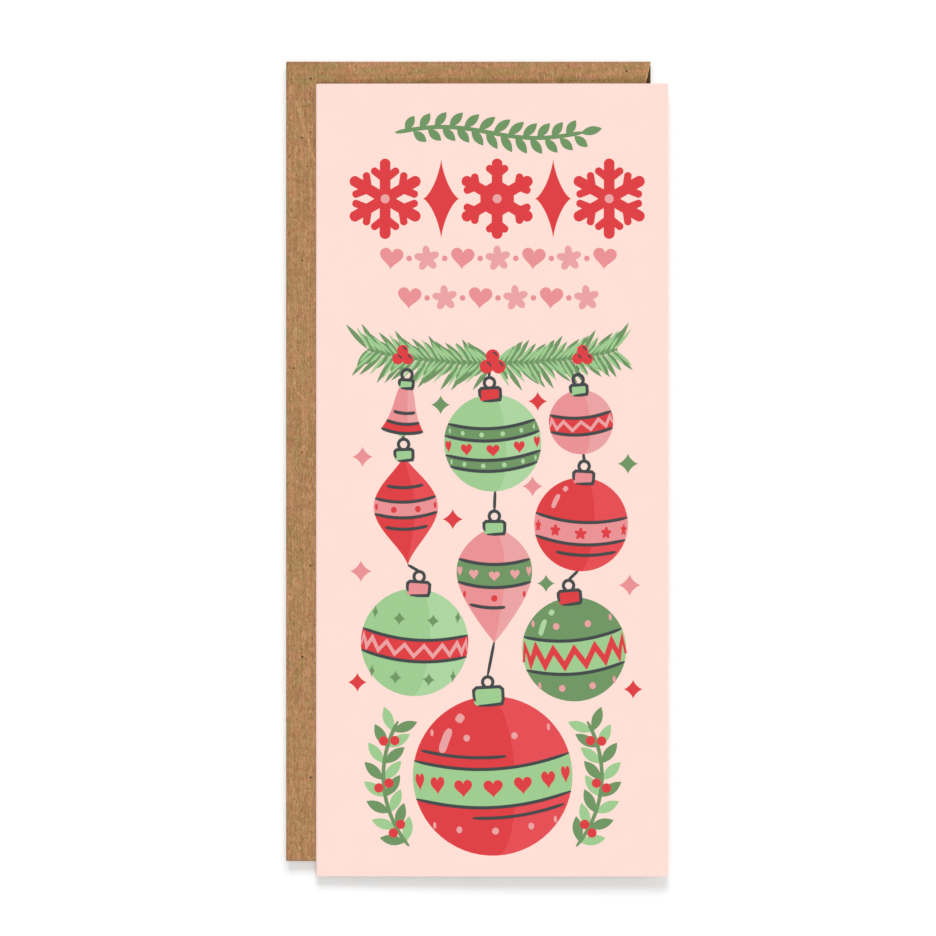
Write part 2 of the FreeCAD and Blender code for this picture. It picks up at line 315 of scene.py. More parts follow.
def makeDriedFilm(name, hexCode, roughness):
    # Dried adhesive: a thin, smooth, slightly glossy skin
    material, tree, shader = newMaterial(name, {"IOR": 1.47})
    ripple = addNode(tree, "ShaderNodeTexNoise", {
        "Vector": inMillimetres(tree), "Scale": 1 / filmLook["ripple"], "Detail": 2})
    darkest, lightest = filmLook["tone"]
    value = addNode(tree, "ShaderNodeMapRange", {0: ripple, 3: darkest, 4: lightest})
    smoothest, roughest = [roughness * share for share in filmLook["gloss"]]
    gloss = addNode(tree, "ShaderNodeMapRange", {0: ripple, 3: smoothest, 4: roughest})
    tint = addNode(tree, "ShaderNodeHueSaturation", {"Value": value, "Color": toLinear(hexCode)})
    tree.links.new(gloss.outputs[0], shader.inputs["Roughness"])
    finishSurface(tree, shader, tint, ripple, *filmLook["bump"])
    return material


inkColours = {
    "red": "#DF4145",
    "redLight": "#E64F55",
    "greenLight": "#A0CD92",
    "greenPale": "#ADD6A1",
    "greenDark": "#719765",
    "pink": "#EB9396",
    "pinkLight": "#ECA4A4",
    "charcoal": "#454B4C",
}

kraftTones = {
    # Painted light and shade in the kraft's tone. Cut edges are drawn lighter, partly for their lighter cut
    # fibres and partly as a painted highlight where they catch the light
    "cutEdge": 1.19,  # cut edges catch the light
    # The seam's cut edge has a painted highlight only round its upper shoulder
    "seamShoulder": 21,  # but the seam's only round its upper shoulder, so far from the envelope's head
    # The inside is painted in shade, darker still towards its ends, where the side flaps fold over it
    "insideDark": (27, 7),  # distances from its ends at which the inside starts to darken, and is darkest
}

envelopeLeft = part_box("envelope_bottom_crease")[0].x
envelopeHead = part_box("envelope_head_crease")[1].y
faceLow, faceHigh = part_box("envelope_face")
faceMiddle = (faceLow.y + faceHigh.y) / 2 / mm
insideShadeStart, insideShadeFull = [(faceHigh.y - faceLow.y) / 2 / mm - distance for distance in kraftTones["insideDark"]]
blushCard = makeCardStock("coverStockBlushPrinted", "#FFE0D7", 0.7, 0.05)
whiteCard = makeCardStock("coverStockUncoated", "#F4F0E9", 0.8, 0.1)
pocketPaper = makeCardStock("textPaperUncoated", "#EFE5D8", 0.8, 0.1)
kraft = makeKraft("kraftPaperMachineFinished", folds=[
    (0, envelopeLeft / mm, 1, 0.24, 0.010), (1, envelopeHead / mm, -1, 0.10, 0.019)])
# Cut edges: lighter cut fibres and a painted highlight where they catch the light
kraftEdgeFibreAndHighlight = makeKraft("kraftPaperCutEdge", kraftTones["cutEdge"])
# Painted highlight on the seam's cut edge, brightest round its upper shoulder and nearly plain past it
kraftSeamHighlight = makeKraft("kraftPaperSeamEdge")
shadeAlong(
    kraftSeamHighlight, 1, envelopeHead / mm - kraftTones["seamShoulder"], near=5, far=12, inner=1.2, outer=1.03)
# Painted shade: the whole inside is drawn darker than the outside, and darkest towards its ends, where the
# flaps fold over it
kraftInsideShaded = makeKraft("kraftPaperInside")
shadeAlong(kraftInsideShaded, 1, faceMiddle, near=insideShadeStart, far=insideShadeFull, inner=0.8, outer=0.2)
paperGlue = makeDriedFilm("whiteGlueDried", "#E6DFCB", 0.45)
flapGum = makeDriedFilm("envelopeGumDried", "#A97B4C", 0.30)
inks = {
    name: makeCardStock(name + "InkOffsetPrinted", code, 0.65, 0.05) for name, code in inkColours.items()
}
print("materials made")


# Sheets of paper and card, cut from the frame's own outlines


def fromNode(node):
    bm = bmesh.new()
    bm.from_mesh(nodes[node].data)
    bmesh.ops.remove_doubles(bm, verts=bm.verts, dist=meshWork["merge"] * mm)
    bmesh.ops.dissolve_limit(
        bm, angle_limit=math.radians(meshWork["flatAngle"]), verts=bm.verts, edges=bm.edges,
        use_dissolve_boundaries=False)
    return bm


def atRoot(vert, root):
    return abs(vert.co.x - root) < meshWork["rootReach"] * mm


def bevelRim(bm, width, root=None):
    # Rounds the cut edges, but not one along the root, where the sheet goes on into its fold
    sharp = [edge for edge in bm.edges if edge.calc_face_angle(0) > math.radians(meshWork["rimAngle"])]
    if root is not None:
        sharp = [edge for edge in sharp if not all(atRoot(vert, root) for vert in edge.verts)]
    bmesh.ops.bevel(
        bm, geom=sharp, offset=width, offset_type="OFFSET", affect="EDGES", segments=2, profile=0.5,
        material=-1, clamp_overlap=True)
    bmesh.ops.remove_doubles(bm, verts=bm.verts, dist=meshWork["rimMerge"] * mm)


def cutGrid(bm, step):
    for axis in (0, 1):
        places = [vert.co[axis] for vert in bm.verts]
        low, high = min(places), max(places)
        count = max(1, round((high - low) / step))
        normal = Vector([float(i == axis) for i in range(3)])
        for i in range(1, count):
            bmesh.ops.bisect_plane(
                bm, geom=bm.verts[:] + bm.edges[:] + bm.faces[:], dist=meshWork["onPlane"] * mm,
                plane_co=normal * (low + (high - low) * i / count), plane_no=normal)


def paintSides(bm, upward, downward, side, least=0.6):
    for face in bm.faces:
        rise = face.normal.z
        face.material_index = upward if rise > least else downward if rise < -least else side


def drawBackRoot(bm, root, step):
    # Leaves a little room beside the root of one of two sheets that fold on each other
    for vert in bm.verts:
        if atRoot(vert, root):
            vert.co.x += step


# The card

cardShape = {
    "rim": 0.05,  # rounding of the cut edges
    "cell": 6,  # size of the faces that let a sheet bend
    "bow": 0.30,  # how far the front cover arches up between spine and fore edge
    "cornerLift": 0.20,  # and its two free corners curl up besides
    "rootGap": 0.02,  # how far one of two sheets that fold on each other is drawn back at its root
    "endInset": 0.05,  # how far a fold's ends lie inside those of its sheets, which hide them when open
    "creaseSteps": 16,
}

spine = Vector(joints["cover_fold"]["pos_m"])
# Painted shade along the score, pressed into the inside before folding: the white stock is drawn darker there
shadeAlong(whiteCard, 0, spine.x / mm, near=0.1, far=0.9, inner=0.9, outer=1)
coverLow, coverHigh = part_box("card_back_cover")
cardFoot, cardHead = coverLow.y, coverHigh.y
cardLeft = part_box("card_spine_crease")[0].x
cardWidth = coverHigh.x - cardLeft
cardHeight = cardHead - cardFoot
cardThickness = coverHigh.z - coverLow.z
spineOuter = spine.x - cardLeft
springAngle = math.radians(180 - joints["cover_fold"]["range_deg"][1])

# From the cover's own flat place, with its lower left corner at the origin, to the frame
coverPlace = (
    Matrix.Translation((spine.x, cardFoot, spine.z))
    @ Matrix.Rotation(-springAngle, 4, "Y")
    @ Matrix.Translation((-spineOuter, 0, spineOuter))
)


def arch(bm):
    # The bow starts flat beside the spine, so that the opened cover clears the envelope's edge
    for vert in bm.verts:
        across = vert.co.x / cardWidth
        along = 2 * vert.co.y / cardHeight - 1
        vert.co.z += cardShape["bow"] * mm * math.sin(math.pi * min(max(across, 0), 1)) ** 2
        vert.co.z += cardShape["cornerLift"] * mm * max(across, 0) ** 3 * along ** 4


def makeFrontCover():
    bm = fromNode("card_front_cover")
    bmesh.ops.transform(bm, matrix=coverPlace.inverted(), verts=bm.verts)
    bevelRim(bm, cardShape["rim"] * mm, spineOuter)
    cutGrid(bm, cardShape["cell"] * mm)
    paintSides(bm, 0, 1, 1)
    arch(bm)
    bmesh.ops.transform(bm, matrix=coverPlace, verts=bm.verts)
    piece = toObject(bm, "front_cover_sheet", [blushCard, whiteCard], "front_cover")
    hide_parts("card_front_cover")


def makeBackCover():
    bm = fromNode("card_back_cover")
    gap = cardShape["rootGap"] * mm
    drawBackRoot(bm, spine.x, gap)
    bevelRim(bm, cardShape["rim"] * mm, spine.x + gap)
    paintSides(bm, 1, 0, 1)
    piece = toObject(bm, "back_cover_sheet", [blushCard, whiteCard], "card")
    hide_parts("card_back_cover")


def spinCrease(centre, along, inner, outer, turn, length, steps):
    # A strip spun about the fold's axis from straight down, by a turn about along
    bm = bmesh.new()
    corners = []
    for radius, side in ((outer, -1), (outer, 1), (inner, 1), (inner, -1)):
        corners.append(bm.verts.new(centre + along * (side * length / 2) - Vector((0, 0, radius))))
    face = bm.faces.new(corners)
    bmesh.ops.spin(
        bm, geom=[face] + face.edges[:] + corners, cent=centre, axis=along, dvec=(0, 0, 0), angle=turn,
        space=Matrix.Identity(4), steps=steps, use_merge=False, use_normal_flip=False, use_duplicate=False)
    bmesh.ops.recalc_face_normals(bm, faces=bm.faces)
    return bm


def makeSpine():
    middle = Vector((spine.x, (cardFoot + cardHead) / 2, spine.z))
    inner = spineOuter - cardThickness
    length = cardHeight - 2 * cardShape["endInset"] * mm
    bm = spinCrease(
        middle, Vector((0, 1, 0)), inner, spineOuter, math.pi - springAngle, length, cardShape["creaseSteps"])
    cutGrid(bm, cardShape["cell"] * mm)
    for face in bm.faces:  # the strip's outer side is printed
        away = face.calc_center_median() - middle
        away.y = 0
        face.material_index = 0 if face.normal.dot(away.normalized()) > meshWork["outward"] else 1
    piece = toObject(bm, "spine_fold", [blushCard, whiteCard], None, True)
    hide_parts("card_spine_crease")
    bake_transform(piece)


makeFrontCover()
makeBackCover()
makeSpine()
for node in ("pocket_panel", "pocket_left_tab", "pocket_right_tab", "pocket_foot_tab"):
    coatNode(node, pocketPaper)
for node in ("pocket_left_glue", "pocket_right_glue", "pocket_foot_glue"):
    coatNode(node, paperGlue)
print("card made")


# The envelope

envelopeShape = {
    "rim": 0.04,
    "cell": 7,
    "foldReach": 0.3,  # a side of a flap is its folded one up to this far from the face's end
    "tuckReach": 0.1,  # and its tucked one up to this far from the bottom fold
    "sag": 0.30,  # how far the unsupported panels sink between their folds
    "rise": 30,  # distance from a fold over which a panel reaches its full sag
    "ripple": 18,  # size of the waves in the sag
    "uneven": (0.8, 0.4),  # mean share of the sag, and how far the waves change it
    "creaseSteps": 14,
    # The cut-edge band gets the lighter edge material: lighter cut fibres and a painted highlight
    "cutBand": 0.55,  # width of the band beside a cut edge that catches the light
    "pressed": 0.03,  # how far that band is pressed down
    "sealInset": 0.2,  # how far the seal flap's crease ends inside the flap's slanted ends
}

kraftThickness = faceHigh.z - faceLow.z


def sagAt(x, y):
    sides = (x - faceLow.x, faceHigh.x - x, y - faceLow.y, faceHigh.y - y)
    share = min(max(min(sides) / (envelopeShape["rise"] * mm), 0), 1)
    smooth = share * share * (3 - 2 * share)
    wave = noise.noise(Vector((x, y, 0)) / (envelopeShape["ripple"] * mm))
    mean, swing = envelopeShape["uneven"]
    return envelopeShape["sag"] * mm * smooth * (mean + swing * wave)


def markCutEdge(bm, fold):
    # A band along the cut sides, pressed a little down and given the lighter edge material, partly lighter
    # cut fibres and partly a painted highlight; fold tells the folded side, which has none
    tops = [face for face in bm.faces if face.normal.z > meshWork["level"]]
    width = envelopeShape["cutBand"] * mm
    ring = bmesh.ops.inset_region(bm, faces=tops, thickness=width, use_even_offset=True)["faces"]
    for face in ring:
        if not fold(face.calc_center_median()):
            face.material_index = 1
    outer = {vert for face in ring for vert in face.verts if not fold(vert.co)}
    outer -= {vert for face in tops for vert in face.verts}
    for vert in outer:
        vert.co.z -= envelopeShape["pressed"] * mm


envelopePieces = []


def makePanel(node, name, body, sink, upward=0, fold=None, rootGap=0, edge=kraftEdgeFibreAndHighlight):
    # Sink is how much of the sag the panel takes, and upward the material of its upper side; edge is the
    # material of its cut-edge band, which carries a painted highlight
    bm = fromNode(node)
    drawBackRoot(bm, faceHigh.x, -rootGap * mm)
    paintSides(bm, upward, 0, 1)
    if fold:
        markCutEdge(bm, fold)
    bevelRim(bm, envelopeShape["rim"] * mm)
    cutGrid(bm, envelopeShape["cell"] * mm)
    for vert in bm.verts:
        vert.co.z -= sink * sagAt(vert.co.x, vert.co.y)
    piece = toObject(bm, name, [kraft, edge, kraftInsideShaded], body)
    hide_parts(node)
    envelopePieces.append(piece)


def makeCrease(node, name, bulge, body="envelope", paintedShadeAbove=None, inset=0):
    # Bulge points out of the fold, and faces whose share upwards is more than the next argument get the
    # inside material, painted in shade
    low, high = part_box(node)
    outer = (high.z - low.z) / 2
    along = Vector((0, 0, 1)).cross(bulge)
    length = abs((high - low).dot(along)) - 2 * inset * mm
    centre = (low + high) / 2 - bulge * (outer / 2)
    bm = spinCrease(
        centre, along, outer - kraftThickness, outer, -math.pi, length, envelopeShape["creaseSteps"])
    cutGrid(bm, envelopeShape["cell"] * mm)
    if paintedShadeAbove is not None:
        for face in bm.faces:
            face.material_index = int(face.normal.z > paintedShadeAbove)
    piece = toObject(bm, name, [kraft, kraftInsideShaded], body, True)
    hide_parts(node)
    envelopePieces.append(piece)
    return piece, centre, outer


def makeSeamGlue(node, name):
    # The glue line sinks with the two flaps that it joins
    bm = fromNode(node)
    cutGrid(bm, envelopeShape["cell"] * mm)
    for vert in bm.verts:
        vert.co.z -= sagAt(vert.co.x, vert.co.y)
    piece = toObject(bm, name, [paperGlue], "envelope")
    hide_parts(node)


def onSideFold(at):
    # The folded and the tucked side of a flap at the head or the foot
    fromEnd = min(faceHigh.y - at.y, at.y - faceLow.y)
    return fromEnd < envelopeShape["foldReach"] * mm or at.x < faceLow.x + envelopeShape["tuckReach"] * mm


def onBottomFold(at):
    return at.x < faceLow.x + envelopeShape["foldReach"] * mm


# The face panel's upper side is the envelope's inside, painted in shade
makePanel("envelope_face", "envelope_face_panel", "envelope", 0, upward=2)
for end in ("head", "foot"):
    makePanel("envelope_" + end + "_flap", end + "_side_flap", "envelope", 1, fold=onSideFold)
# The bottom flap's cut edges carry the seam's painted highlight
makePanel("envelope_bottom_flap", "bottom_flap_panel", "envelope", 1, fold=onBottomFold, edge=kraftSeamHighlight)
makePanel("seal_flap", "seal_flap_panel", "seal_flap", 0, rootGap=cardShape["rootGap"])
for side, bulge in (("bottom", (-1, 0, 0)), ("head", (0, 1, 0)), ("foot", (0, -1, 0))):
    makeCrease("envelope_" + side + "_crease", side + "_fold", Vector(bulge))
# The seal flap's crease is painted in shade along its top
sealFold, sealAxis, sealOuter = makeCrease(
    "seal_flap_crease", "seal_flap_fold", Vector((1, 0, 0)), None, 0.3, envelopeShape["sealInset"])
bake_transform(sealFold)
for end in ("head", "foot"):
    makeSeamGlue("envelope_" + end + "_seam_glue", end + "_seam_glue_line")
coatNode("seal_gum_strip", flapGum)
print("envelope made")


# The printed design: thin films of ink on the front cover

inkShape = {
    "film": 0.02,  # thickness of one layer
    "root": 0.01,  # how far a film reaches into the cover
    "rootStep": 0.1,  # and how much further with each layer, so that no two undersides meet
    "line": 0.9,  # width of the dark lines
    "tips": (0.45, 0.9, 1),  # width of a drawn line at its end, at the next point and further on
    "bluntest": 0.4,  # corners are mitred up to where half their turn has this cosine
    "cell": 4,  # longest piece of a straight stroke, so that it follows the cover's bow
    "merge": 0.0001,  # points nearer than this are one
}


def newArt():
    return {"bm": bmesh.new(), "inks": []}


def addFilm(art, flat, ink, layer, matrix):
    # Makes a flat bmesh a closed film of ink and puts it where matrix says, in millimetres on the cover
    low = -inkShape["root"] * (1 + inkShape["rootStep"] * layer)
    high = inkShape["film"] * layer
    bmesh.ops.translate(flat, verts=flat.verts, vec=(0, 0, low))
    grown = bmesh.ops.extrude_face_region(flat, geom=flat.faces[:], use_keep_orig=True)
    tops = [item for item in grown["geom"] if isinstance(item, bmesh.types.BMVert)]
    bmesh.ops.translate(flat, verts=tops, vec=(0, 0, high - low))
    bmesh.ops.transform(flat, matrix=matrix, verts=flat.verts)
    bmesh.ops.recalc_face_normals(flat, faces=flat.faces)
    if ink not in art["inks"]:
        art["inks"].append(ink)
    for face in flat.faces:
        face.material_index = art["inks"].index(ink)
    mesh = bpy.data.meshes.new("film")
    flat.to_mesh(mesh)
    flat.free()
    art["bm"].from_mesh(mesh)
    bpy.data.meshes.remove(mesh)


def placed(centre, turn=0, size=(1, 1)):
    return (
        Matrix.Translation((centre[0], centre[1], 0))
        @ Matrix.Rotation(math.radians(turn), 4, "Z")
        @ Matrix.Diagonal((size[0], size[1], 1, 1))
    )


def toward(turn, reach):
    return reach * Vector((math.cos(math.radians(turn)), math.sin(math.radians(turn))))


def widthAt(shape, share):
    # Place across the cover, from a shape's left to its right
    return shape["left"] + (shape["right"] - shape["left"]) * share


def trace(place, steps):
    # The points that place gives for shares from 0 to 1
    return [place(i / steps) for i in range(steps + 1)]


def roundShape(segments, shaper):
    # A filled ring of points, each moved by shaper, which gets its angle and returns its place
    flat = bmesh.new()
    ring = bmesh.ops.create_circle(flat, cap_ends=True, segments=segments, radius=1)["verts"]
    for vert in ring:
        angle = math.atan2(vert.co.y, vert.co.x)
        vert.co.x, vert.co.y = shaper(angle)
    return flat


def dot(angle):
    return math.cos(angle), math.sin(angle)


def leaf(angle):
    # Two shallow arcs that meet in points at both ends
    return math.cos(angle), math.sin(angle) * abs(math.sin(angle))


def heart(angle):
    turned = angle + math.pi / 2
    return (
        math.sin(turned) ** 3,
        (13 * math.cos(turned) - 5 * math.cos(2 * turned) - 2 * math.cos(3 * turned)
         - math.cos(4 * turned)) / 16 + 0.12,
    )


def blossom(angle):
    # Five round petals, one of them up
    reach = 0.50 + 0.50 * abs(math.cos(2.5 * (angle - math.pi / 2))) ** 1.3
    return reach * math.cos(angle), reach * math.sin(angle)


def sparkle(angle):
    # Four points with hollow sides between them
    return tuple(math.copysign(abs(side) ** 2.8, side) for side in (math.cos(angle), math.sin(angle)))


def stamp(art, shaper, ink, layer, centre, size, turn=0, segments=28):
    addFilm(art, roundShape(segments, shaper), ink, layer, placed(centre, turn, size))


def bead(art, ink, layer, centre, radius):
    stamp(art, dot, ink, layer, centre, (radius, radius))


def leafAt(art, ink, layer, root, turn, size, gap=0, segments=28):
    # A leaf or needle that grows out of root, whose size is its half length and half width
    stamp(art, leaf, ink, layer, root + toward(turn, size[0] + gap), size, turn, segments)


def bar(art, ink, layer, start, end, width):
    # A straight stroke with round ends
    run = Vector(end) - Vector(start)
    flat = bmesh.new()
    ring = bmesh.ops.create_circle(flat, cap_ends=True, segments=20, radius=width / 2)["verts"]
    for vert in ring:
        if vert.co.x > 0:
            vert.co.x += run.length
    cutGrid(flat, inkShape["cell"])
    addFilm(art, flat, ink, layer, placed(start, math.degrees(math.atan2(run.y, run.x))))


def strokes(art, ink, layer, paths, width, matrix=Matrix.Identity(4)):
    # Drawn lines of one width, with narrowed ends and mitred corners
    for path in paths:
        points = [Vector(point) for point in path]
        last = len(points) - 1
        flat = bmesh.new()
        bmesh.ops.create_grid(flat, x_segments=last, y_segments=1, size=1)
        for vert in flat.verts:
            i = round((vert.co.x + 1) / 2 * last)
            came = (points[max(i, 1)] - points[max(i, 1) - 1]).normalized()
            goes = (points[min(i, last - 1) + 1] - points[min(i, last - 1)]).normalized()
            along = (came + goes).normalized()
            mitre = 1 / max(inkShape["bluntest"], along.dot(goes))
            half = width / 2 * mitre * inkShape["tips"][min(i, last - i, 2)]
            side = Vector((-along.y, along.x)) * half * vert.co.y
            vert.co.x, vert.co.y = points[i] + side
        addFilm(art, flat, ink, layer, matrix)


def finishArt(art, name):
    bm = art["bm"]
    bmesh.ops.remove_doubles(bm, verts=bm.verts, dist=inkShape["merge"])
    bmesh.ops.transform(bm, matrix=Matrix.Scale(mm, 4), verts=bm.verts)
    arch(bm)
    bmesh.ops.transform(bm, matrix=coverPlace, verts=bm.verts)
    toObject(bm, name, [inks[ink] for ink in art["inks"]], "front_cover")


# Header: a leafy twig, snowflakes with tall stars, and two rows of hearts and blossoms

twigShape = {
    "left": 23, "right": 77, "height": 214.5, "wave": 1.6, "stem": 1.2, "leaves": 12,
    "leaf": (3.1, 1.25),  # half length and half width
    "first": 0.05, "last": 0.91,  # places of the outermost leaves, as shares of the twig
    "splay": 48, "gap": 0.3,  # angle and distance between leaf and twig
    "stagger": 2.2,  # how far the leaves below the twig lie on from those above
    "smaller": 0.25,  # by what share the outermost leaves are smaller than the middle ones
    "endLeaf": (2.48, 0.5, 12),  # place of the leaf at the twig's end, counted from there, and its turn
}


def twigAt(share):
    swing = twigShape["wave"] * math.sin(2 * math.pi * share)
    return Vector((widthAt(twigShape, share), twigShape["height"] + swing))


def makeTwig():
    art = newArt()
    shape = twigShape
    strokes(art, "greenDark", 1, [trace(twigAt, 40)], shape["stem"])
    length, width = shape["leaf"]
    for i in range(shape["leaves"]):
        share = shape["first"] + (shape["last"] - shape["first"]) * i / (shape["leaves"] - 1)
        slope = shape["wave"] * 2 * math.pi * math.cos(2 * math.pi * share)
        lean = math.degrees(math.atan2(slope, shape["right"] - shape["left"]))
        size = (length * (1 - shape["smaller"] * abs(2 * share - 1)), width)
        for side, shift in ((-1, shape["stagger"]), (1, 0)):
            root = twigAt(share) + Vector((shift, 0))
            leafAt(art, "greenDark", 2, root, lean + side * shape["splay"], size, shape["gap"])
    x, y, turn = shape["endLeaf"]
    stamp(art, leaf, "greenDark", 2, twigAt(1) + Vector((x, y)), (length, width), turn)
    finishArt(art, "printed_twig")


snowflakeShape = {
    "left": 20, "right": 84.6, "height": 195.4, "arm": 10.0, "stroke": 3.2, "middle": 1.3,
    "starSize": (5.2, 11.6),
    # Side twigs of two kinds of snowflake: where they start and how long they are, as shares of the arm
    "twigs": ((0.56, 0.38), (0.70, 0.27)),
    "twigWidth": 0.7, "splay": 52,  # width for an arm's width, and angle between twig and arm
    "ring": 0.45, "ringWidth": 0.6,  # ring round the middle of the second kind
    "over": 0.25,  # part of a layer by which each crossing stroke lies on the one before
}


def makeSnowflakes():
    # Snowflakes and tall stars by turns
    art = newArt()
    shape = snowflakeShape
    arm, wide, over = shape["arm"], shape["stroke"], shape["over"]
    for i in range(5):
        middle = Vector((widthAt(shape, i / 4), shape["height"]))
        if i % 2:
            stamp(art, sparkle, "red", 1, middle, shape["starSize"], segments=64)
            continue
        kind = i // 2 % 2
        root, reach = shape["twigs"][kind]
        for j in range(6):
            turn = 60 * j + 90
            if j < 3:
                bar(art, "red", 1 + over * j, middle + toward(turn, -arm), middle + toward(turn, arm), wide)
            fork = middle + toward(turn, arm * root)
            for side in (0, 1):
                tip = fork + toward(turn + shape["splay"] * (2 * side - 1), arm * reach)
                bar(art, "red", 1 + over * (3 + side), fork, tip, wide * shape["twigWidth"])
            if kind:
                near, far = [middle + toward(turn + step, arm * shape["ring"]) for step in (0, 60)]
                bar(art, "red", 1 + over * (5 + j % 2), near, far, wide * shape["ringWidth"])
        bead(art, "pinkLight", 3, middle, shape["middle"])
    finishArt(art, "printed_snowflakes")


motifShape = {
    "rows": [
        {"height": 178.2, "left": 21.8, "right": 83.3, "count": 7},
        {"height": 166.8, "left": 27.0, "right": 78.1, "count": 6},
    ],
    # Shape, ink, half width, turn in degrees and points of the outline
    "motifs": [(heart, "pink", 3.4, -5, 48), (blossom, "pinkLight", 3.7, 6, 60)],
    "dot": 0.8,
}


def makeHearts():
    # Two rows of hearts and blossoms by turns, with dots between them
    art = newArt()
    for row in motifShape["rows"]:
        gaps = row["count"] - 1
        for i in range(row["count"]):
            shaper, ink, size, turn, segments = motifShape["motifs"][i % 2]
            centre = (widthAt(row, i / gaps), row["height"])
            stamp(art, shaper, ink, 1, centre, (size, size), turn, segments)
            if i:
                bead(art, "pink", 1, (widthAt(row, (i - 0.5) / gaps), row["height"]), motifShape["dot"])
    finishArt(art, "printed_hearts")


makeTwig()
makeSnowflakes()
makeHearts()
print("header printed")


# Illustration: glass ornaments that hang from a fir bough in three strings
# An outline gives the half width of an ornament of height 1 at each rise, from 0 at its foot to 1 at its top


def ballWidth(rise):
    return 0.5 * math.sqrt(max(0, 1 - (2 * rise - 1) ** 2))


def dropWidth(rise):
    return 0.33 * max(0, math.sin(math.pi * rise ** 1.45)) ** 0.65


def spindleWidth(rise):
    return 0.29 * max(0, math.sin(math.pi * rise ** 1.1)) ** 1.35


def bellWidth(rise):
    return (0.2 + 0.26 * (1 - rise) ** 2.4) * math.sqrt(max(0, 1 - rise ** 7))


ornamentShape = {
    "sag": 0.16,  # how far a band on an ornament bends down, as a share of the width there
    "shadeFrom": 0.28,  # place across, from -1 to 1, from which its side has another ink
    "rowReach": 66, "zigzagReach": 84,  # longitudes up to which motifs and zigzags go round it
    "narrowest": 0.45,  # width of a motif at the sides, as a share of that in the middle
    # Two strokes of light down the upper left side: place across, and the rise at both ends
    "shine": ((-0.68, 0.70, 0.84), (-0.62, 0.88, 0.92)),
    "shineWidth": 0.05,
    "merge": 0.0005,  # points nearer than this are one
}


def onOrnament(item, across, rise, sag=ornamentShape["sag"]):
    half = item["outline"](rise)
    return half * across, rise - 0.5 - sag * (1 - across * across) * half


def ornamentPlace(item):
    return placed(item["at"], item.get("turn", 0), (item["tall"], item["tall"]))


def drawOn(art, item, ink, layer, route, width):
    # A line on the ornament's skin, whose points are pairs of place across and rise
    path = [Vector(onOrnament(item, *point)) * item["tall"] for point in route]
    strokes(art, ink, layer, [path], width, placed(item["at"], item.get("turn", 0)))


def panelOn(art, item, ink, layer, sides=(-1, 1), band=None):
    # A patch of the ornament's skin between two meridians, over its whole height or over a band
    flat = bmesh.new()
    bmesh.ops.create_grid(flat, x_segments=18, y_segments=4 if band else 30, size=1)
    for vert in flat.verts:
        across = sides[0] + (sides[1] - sides[0]) * (vert.co.x + 1) / 2
        share = (vert.co.y + 1) / 2
        if band:
            place = onOrnament(item, across, band[0] + (band[1] - band[0]) * share)
        else:
            place = onOrnament(item, across, 0.5 - 0.5 * math.cos(math.pi * share), 0)
        vert.co.x, vert.co.y = place
    bmesh.ops.remove_doubles(flat, verts=flat.verts, dist=ornamentShape["merge"])
    addFilm(art, flat, ink, layer, ornamentPlace(item))


def lineOn(art, item, rise, start=-1, end=1):
    # A line round the ornament at one height
    route = trace(lambda share: (start + (end - start) * share, rise), 20)
    drawOn(art, item, "charcoal", 5, route, inkShape["line"])


def rowOn(art, item, shaper, ink, rise, count, size):
    # Small motifs round the ornament at one height, narrower towards its sides
    reach = ornamentShape["rowReach"]
    for i in range(count):
        longitude = math.radians(-reach + 2 * reach * i / (count - 1))
        x, y = onOrnament(item, math.sin(longitude), rise)
        narrow = size * max(ornamentShape["narrowest"], math.cos(longitude))
        centre = ornamentPlace(item) @ Vector((x, y, 0))
        stamp(art, shaper, ink, 4, centre, (narrow, size), item.get("turn", 0), 32)


def zigzagOn(art, item, low, high, ink, count, width):
    reach = ornamentShape["zigzagReach"]
    route = []
    for i in range(2 * count + 1):
        longitude = math.radians(-reach + reach * i / count)
        route.append((math.sin(longitude), (low, high)[i % 2]))
    drawOn(art, item, ink, 4, route, width)


def shineOn(art, item):
    for across, low, high in ornamentShape["shine"]:
        route = trace(lambda share: (across, low + (high - low) * share), 8)
        drawOn(art, item, item["shine"], 3, route, ornamentShape["shineWidth"] * item["tall"])


capShape = {
    "tall": 0.62, "ring": 1.5,  # height for its width, and the loop's radius
    "corner": 0.35,
    "loop": (20, 345, 18),  # where the drawn loop starts and ends, and its steps, in degrees
    # The drawn outline, a little loose, as shares of half the width and half the height
    "outline": [
        (-0.9, -0.5), (-1, 0.0), (-1, 0.7), (-0.8, 1), (0, 1), (0.8, 1), (1, 0.7), (1, -0.4), (0.9, -0.9),
        (0, -1), (-0.7, -1),
    ],
}


def capOn(art, item):
    # Metal cap with its wire loop
    wide = item["cap"]
    tall = wide * capShape["tall"]
    ring = capShape["ring"]
    place = placed(ornamentPlace(item) @ Vector((0, 0.5, 0)), item.get("turn", 0))
    flat = bmesh.new()
    bmesh.ops.create_grid(flat, x_segments=1, y_segments=1, size=1)
    bmesh.ops.bevel(
        flat, geom=flat.verts[:], offset=capShape["corner"], offset_type="OFFSET", affect="VERTICES",
        segments=4, profile=0.5, material=-1)
    addFilm(art, flat, item["capInk"], 4, place @ Matrix.Diagonal((wide, tall, 1, 1)))
    outline = [(wide * x, tall * y) for x, y in capShape["outline"]]
    loop = [Vector((0, tall + ring)) + toward(a - 90, ring) for a in range(*capShape["loop"])]
    strokes(art, "charcoal", 5, [outline], inkShape["line"], place)
    strokes(art, "charcoal", 5.3, [loop], inkShape["line"], place)


